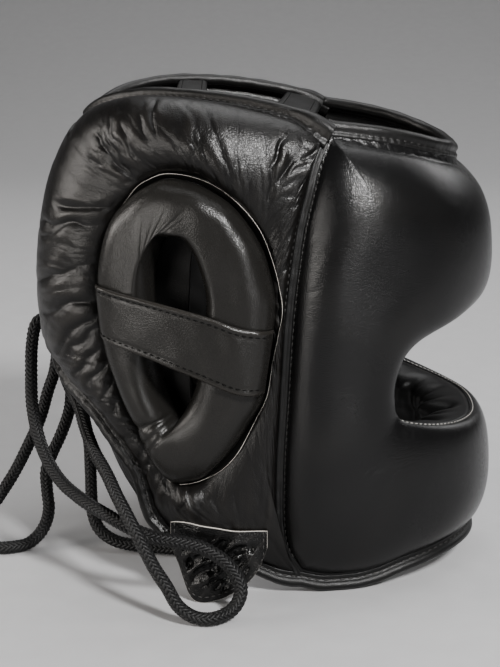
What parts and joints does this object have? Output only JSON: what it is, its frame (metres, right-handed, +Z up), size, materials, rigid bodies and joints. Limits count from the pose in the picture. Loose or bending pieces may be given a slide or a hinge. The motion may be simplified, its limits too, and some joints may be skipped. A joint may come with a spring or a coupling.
{
  "type": "face bar boxing headgear",
  "caption": "Padded leather boxing headgear with a face bar, ear rings with cross straps, crown straps and a rear lace tied in a bow",
  "frame": {"origin": "on the surface that the headgear stands on, under the middle of its box without the loose lace", "axes": "+Z up, the face opening looks along -Y, the wearer's right side is at -X"},
  "size_m": [0.256, 0.3055, 0.272],
  "materials": {
    "leather_smooth": "smooth black leather with a satin sheen",
    "leather_soft": "soft black leather, wrinkled over the padding",
    "leather_lining": "matte black lining leather",
    "leather_edge": "folded and stitched black leather",
    "lace": "black braided cord"
  },
  "bodies": {
    "root": {"front_pad": "leather_smooth", "front_lining": "leather_lining", "front_top_binding": "leather_edge", "side_pad_right": "leather_soft", "side_pad_left": "leather_soft", "ear_ring_right": "leather_smooth", "ear_ring_left": "leather_smooth", "ear_strap_right": "leather_edge", "ear_strap_left": "leather_edge", "side_top_binding_right": "leather_edge", "side_top_binding_left": "leather_edge", "rear_piping_right": "leather_edge", "rear_piping_left": "leather_edge", "lower_piping_right": "leather_edge", "lower_piping_left": "leather_edge", "seam_welt_right": "leather_edge", "seam_welt_left": "leather_edge", "jaw_tab_right": "leather_soft", "jaw_tab_left": "leather_soft", "bottom_binding": "leather_edge", "crown_strap_front": "leather_edge", "crown_strap_rear": "leather_edge", "rear_tongue": "leather_lining", "rear_lace_bar_1": "lace", "rear_lace_bar_2": "lace", "rear_lace_bar_3": "lace", "rear_lace_bar_4": "lace", "lace_knot": "lace", "lace_loop_near": "lace", "lace_loop_left": "lace", "lace_end": "lace"}
  },
  "joints": []
}
